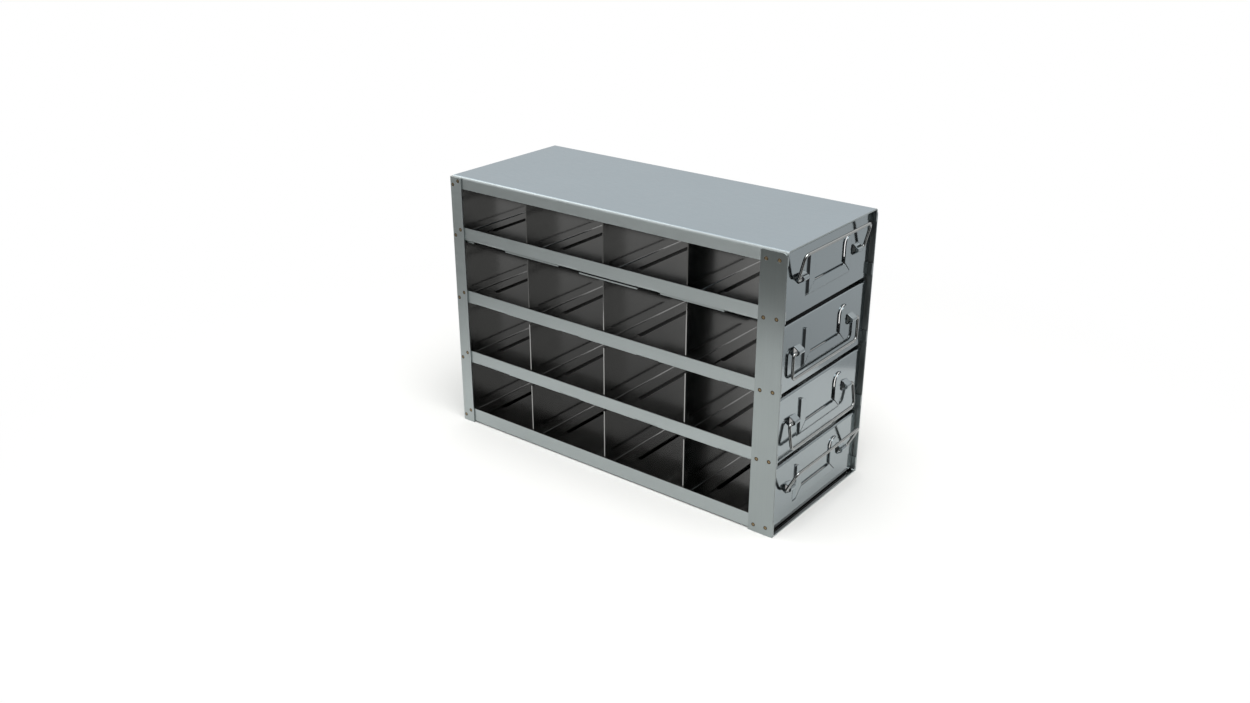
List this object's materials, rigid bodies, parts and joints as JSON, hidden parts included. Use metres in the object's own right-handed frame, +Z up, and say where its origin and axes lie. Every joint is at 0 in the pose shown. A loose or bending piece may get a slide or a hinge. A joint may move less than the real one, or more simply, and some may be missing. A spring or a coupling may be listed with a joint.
{
  "type": "freezer drawer rack",
  "caption": "Side-access steel freezer rack with sliding drawers, divided trays, card holders and folding wire bails, for storing well plates in an upright freezer.",
  "frame": {"origin": "middle of the base panel's underside, on the surface the rack stands on", "axes": "+Z up, X across the rack's width, Y along its length with the drawers pulling out along -Y"},
  "size_m": [0.145, 0.3662, 0.248],
  "materials": {
    "frame_steel": "fine brushed stainless sheet",
    "front_steel": "cold-rolled stainless sheet with a soft mirror",
    "tray_steel": "cold-rolled stainless sheet, dull",
    "bail_wire": "drawn stainless wire"
  },
  "bodies": {
    "rack_frame": {"top_panel": "frame_steel", "base_panel": "frame_steel", "back_panel": "frame_steel", "left_post": "frame_steel", "right_post": "frame_steel", "shelf_1": "frame_steel", "shelf_2": "frame_steel", "shelf_3": "frame_steel"},
    "drawer_1": {"drawer_1_tray": "tray_steel", "drawer_1_front": "front_steel", "drawer_1_divider_front": "tray_steel", "drawer_1_divider_middle": "tray_steel", "drawer_1_divider_rear": "tray_steel", "drawer_1_back_wall": "tray_steel"},
    "bail_1": {"drawer_1_bail": "bail_wire"},
    "drawer_2": {"drawer_2_tray": "tray_steel", "drawer_2_front": "front_steel", "drawer_2_divider_front": "tray_steel", "drawer_2_divider_middle": "tray_steel", "drawer_2_divider_rear": "tray_steel", "drawer_2_back_wall": "tray_steel"},
    "bail_2": {"drawer_2_bail": "bail_wire"},
    "drawer_3": {"drawer_3_tray": "tray_steel", "drawer_3_front": "front_steel", "drawer_3_divider_front": "tray_steel", "drawer_3_divider_middle": "tray_steel", "drawer_3_divider_rear": "tray_steel", "drawer_3_back_wall": "tray_steel"},
    "bail_3": {"drawer_3_bail": "bail_wire"},
    "drawer_4": {"drawer_4_tray": "tray_steel", "drawer_4_front": "front_steel", "drawer_4_divider_front": "tray_steel", "drawer_4_divider_middle": "tray_steel", "drawer_4_divider_rear": "tray_steel", "drawer_4_back_wall": "tray_steel"},
    "bail_4": {"drawer_4_bail": "bail_wire"}
  },
  "joints": [
    {"name": "drawer_1_slide", "type": "slide", "parent": "rack_frame", "child": "drawer_1", "axis": [0, -1, 0], "range_m": [0, 0.3]},
    {"name": "bail_1_hinge", "type": "hinge", "parent": "drawer_1", "child": "bail_1", "pos_m": [0, -0.177, 0.2195], "axis": [-1, 0, 0], "range_deg": [-169, 16]},
    {"name": "drawer_2_slide", "type": "slide", "parent": "rack_frame", "child": "drawer_2", "axis": [0, -1, 0], "range_m": [0, 0.3]},
    {"name": "bail_2_hinge", "type": "hinge", "parent": "drawer_2", "child": "bail_2", "pos_m": [0, -0.177, 0.1578], "axis": [-1, 0, 0], "range_deg": [-3, 182]},
    {"name": "drawer_3_slide", "type": "slide", "parent": "rack_frame", "child": "drawer_3", "axis": [0, -1, 0], "range_m": [0, 0.3]},
    {"name": "bail_3_hinge", "type": "hinge", "parent": "drawer_3", "child": "bail_3", "pos_m": [0, -0.177, 0.0961], "axis": [-1, 0, 0], "range_deg": [-11, 174]},
    {"name": "drawer_4_slide", "type": "slide", "parent": "rack_frame", "child": "drawer_4", "axis": [0, -1, 0], "range_m": [0, 0.3]},
    {"name": "bail_4_hinge", "type": "hinge", "parent": "drawer_4", "child": "bail_4", "pos_m": [0, -0.177, 0.0344], "axis": [-1, 0, 0], "range_deg": [-156, 29]}
  ]
}
